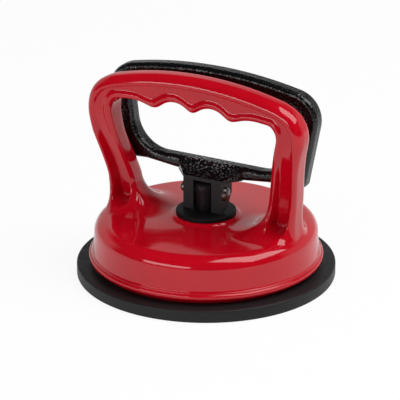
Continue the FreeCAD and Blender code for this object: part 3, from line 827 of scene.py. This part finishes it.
def ribs():
    """Stiffening ribs under the crown: one block, repeated round the boss."""
    tree, sizes = node_tree("shell_ribs", [
        ("Count", "NodeSocketInt"), ("Middle Radius", "NodeSocketFloat"), ("Middle Height", "NodeSocketFloat"),
        ("Block", "NodeSocketVector")])
    link = tree.links.new
    ring = tree.nodes.new("GeometryNodeMeshCircle")
    link(sizes.outputs["Count"], ring.inputs["Vertices"])
    link(sizes.outputs["Middle Radius"], ring.inputs["Radius"])
    block = tree.nodes.new("GeometryNodeMeshCube")
    link(sizes.outputs["Block"], block.inputs["Size"])
    place = tree.nodes.new("GeometryNodeInputPosition")
    turn = tree.nodes.new("FunctionNodeAlignRotationToVector")
    turn.axis = "X"
    turn.pivot_axis = "Z"
    link(place.outputs[0], turn.inputs["Vector"])
    repeat = tree.nodes.new("GeometryNodeInstanceOnPoints")
    link(ring.outputs[0], repeat.inputs["Points"])
    link(block.outputs[0], repeat.inputs["Instance"])
    link(turn.outputs[0], repeat.inputs["Rotation"])
    lift = tree.nodes.new("ShaderNodeCombineXYZ")
    link(sizes.outputs["Middle Height"], lift.inputs["Z"])
    placed = tree.nodes.new("GeometryNodeTransform")
    placed.inputs["Rotation"].default_value = (0, 0, math.pi / RIB_COUNT)
    link(repeat.outputs[0], placed.inputs["Geometry"])
    link(lift.outputs[0], placed.inputs["Translation"])
    finished(tree, placed.outputs[0], RED)
    inner, outer = BOSS_RADIUS - RIB_ROOT, WALL_TOP_RADIUS - SHELL_WALL
    top = CROWN - SHELL_WALL + RIB_ROOT
    obj = from_nodes("crown_ribs", tree, {
        "Count": RIB_COUNT, "Middle Radius": (inner + outer) / 2 * MM,
        "Middle Height": (top - (RIB_DEPTH + RIB_ROOT) / 2) * MM,
        "Block": ((outer - inner) * MM, RIB_THICKNESS * MM, (RIB_DEPTH + RIB_ROOT) * MM)})
    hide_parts("body_casting")
    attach(obj, "body")


casting()
pad()
bush()
spring()
ribs()

for node, mat in {"pad_plate": ZINC, "plate_stud": ZINC, "lock_washer": ZINC, "spring_washer": ZINC,
                  "stem": DARK_STEEL, "return_spring": SPRING, "locking_lever": COAT, "pivot_pin": PIN,
                  "body_casting": RED, "guide_bush": BUSH, "suction_pad": RUBBER}.items():
    data = frame["nodes"][node].data
    data.materials.clear()
    data.materials.append(mat)


# ---------------------------------------------------------------- studio
AIM_HEIGHT = 0.04
AZIMUTH, ELEVATION, DISTANCE = 28.5, 23.3, 1.3      # camera: degrees from the front to the right, degrees up
LENS, SENSOR, SHIFT_X, SHIFT_Y = 251.6, 36, -0.0155, 0.1757
LIGHT_DISTANCE = 1.2
# azimuth, elevation, width, height, power
LIGHTS = {"overhead": (104, 60, 1.0, 1.0, 14), "front strip": (-12, 16, 1.05, 0.31, 4.8)}
BACK_X, BACK_Y = -0.30, 0.95              # horizontal direction of the backdrop
BACK_EDGE, BACK_FULL = 0.50, 0.62         # where it starts and is full, on the way round (0 front, 1 back)
BACK_LOW, BACK_HIGH = 0.41, 0.58          # where it starts to fade and is gone, as the height of a direction
ROOM_LEVEL, BACKDROP_LEVEL, AMBIENT_LEVEL = 0.03, 0.57, 0.28
FLOOR_HALF = 3.0
FLOOR_GLOW, FLOOR_IN_GLOSS = 0.9, 0.5     # share of plain white in the floor, straight and in gloss
BLACK, WHITE = (0, 0, 0), (1, 1, 1)


def toward(azimuth, elevation, distance):
    """Vector of that length; azimuth runs from the front to the right, in degrees."""
    a, e = math.radians(azimuth), math.radians(elevation)
    return Vector((math.sin(a) * math.cos(e), -math.cos(a) * math.cos(e), math.sin(e))) * distance


def aimed(name, data, place, back):
    """Object in the scene at a place, looking along the opposite of back."""
    obj = bpy.data.objects.new(name, data)
    bpy.context.scene.collection.objects.link(obj)
    obj.location = place
    obj.rotation_mode = "QUATERNION"
    obj.rotation_quaternion = (-back).to_track_quat("-Z", "Y")
    return obj


def lights():
    """Soft light from above and the right, and a low wide strip in front."""
    for name, (azimuth, elevation, width, height, power) in LIGHTS.items():
        lamp = bpy.data.lights.new(name, "AREA")
        lamp.energy = power
        lamp.shape = "RECTANGLE"
        lamp.size, lamp.size_y = width, height
        back = toward(azimuth, elevation, LIGHT_DISTANCE)
        aimed(name, lamp, back + Vector((0, 0, AIM_HEIGHT)), back)


def camera():
    """Long lens, from the front right and a little above."""
    data = bpy.data.cameras.new("camera")
    data.lens, data.sensor_width = LENS, SENSOR
    data.shift_x, data.shift_y = SHIFT_X, SHIFT_Y
    back = toward(AZIMUTH, ELEVATION, DISTANCE)
    bpy.context.scene.camera = aimed("camera", data, back, back)


def world():
    """White behind the object for the camera; gloss sees the white backdrop behind and a dark room in front."""
    scene_world = bpy.data.worlds.new("studio")
    bpy.context.scene.world = scene_world
    scene_world.use_nodes = True
    tree = scene_world.node_tree
    tree.nodes.clear()

    def background(strength):
        node = tree.nodes.new("ShaderNodeBackground")
        node.inputs["Color"].default_value = (*WHITE, 1)
        node.inputs["Strength"].default_value = strength
        return node.outputs[0]

    def mix(factor, a, b):
        node = tree.nodes.new("ShaderNodeMixShader")
        for socket, source in zip(node.inputs, (factor, a, b)):
            tree.links.new(source, socket)
        return node.outputs[0]

    split = tree.nodes.new("ShaderNodeSeparateXYZ")
    tree.links.new(tree.nodes.new("ShaderNodeTexCoord").outputs["Generated"], split.inputs["Vector"])
    behind = calculated(tree, "ADD", calculated(tree, "MULTIPLY", split.outputs["X"], BACK_X),
                        calculated(tree, "MULTIPLY", split.outputs["Y"], BACK_Y))
    way_round = calculated(tree, "MULTIPLY_ADD", behind, 0.5, 0.5)
    side = ramp(tree, way_round, (BACK_EDGE, BLACK), (BACK_FULL, WHITE))
    low = ramp(tree, split.outputs["Z"], (BACK_LOW, WHITE), (BACK_HIGH, BLACK))
    backdrop = mix(calculated(tree, "MULTIPLY", side, low), background(ROOM_LEVEL), background(BACKDROP_LEVEL))
    path = tree.nodes.new("ShaderNodeLightPath")
    glossy = calculated(tree, "MAXIMUM", path.outputs["Is Glossy Ray"], path.outputs["Is Transmission Ray"])
    lit = mix(glossy, background(AMBIENT_LEVEL), backdrop)
    output = tree.nodes.new("ShaderNodeOutputWorld")
    tree.links.new(mix(path.outputs["Is Camera Ray"], lit, background(1.0)), output.inputs["Surface"])


def floor():
    """Pale floor: white to the camera apart from a faint soft shadow."""
    mat, tree, shader = material("floor", (0.9, 0.9, 0.9), 0.9, specular=0.0)
    mesh = bpy.data.meshes.new("floor")
    s = FLOOR_HALF
    mesh.from_pydata([(-s, -s, 0), (s, -s, 0), (s, s, 0), (-s, s, 0)], [], [(0, 1, 2, 3)])
    obj = bpy.data.objects.new("floor", mesh)
    bpy.context.scene.collection.objects.link(obj)
    mesh.materials.append(mat)
    glow = tree.nodes.new("ShaderNodeEmission")
    glow.inputs["Color"].default_value = (*WHITE, 1)
    path = tree.nodes.new("ShaderNodeLightPath")
    straight = calculated(tree, "MULTIPLY", path.outputs["Is Camera Ray"], FLOOR_GLOW)
    white = calculated(tree, "MULTIPLY_ADD", path.outputs["Is Glossy Ray"], FLOOR_IN_GLOSS, straight)
    mix = tree.nodes.new("ShaderNodeMixShader")
    for socket, source in zip(mix.inputs, (white, shader.outputs["BSDF"], glow.outputs["Emission"])):
        tree.links.new(source, socket)
    tree.links.new(mix.outputs["Shader"], tree.nodes["Material Output"].inputs["Surface"])


world()
floor()
camera()
lights()
bpy.context.scene.view_settings.view_transform = "Standard"
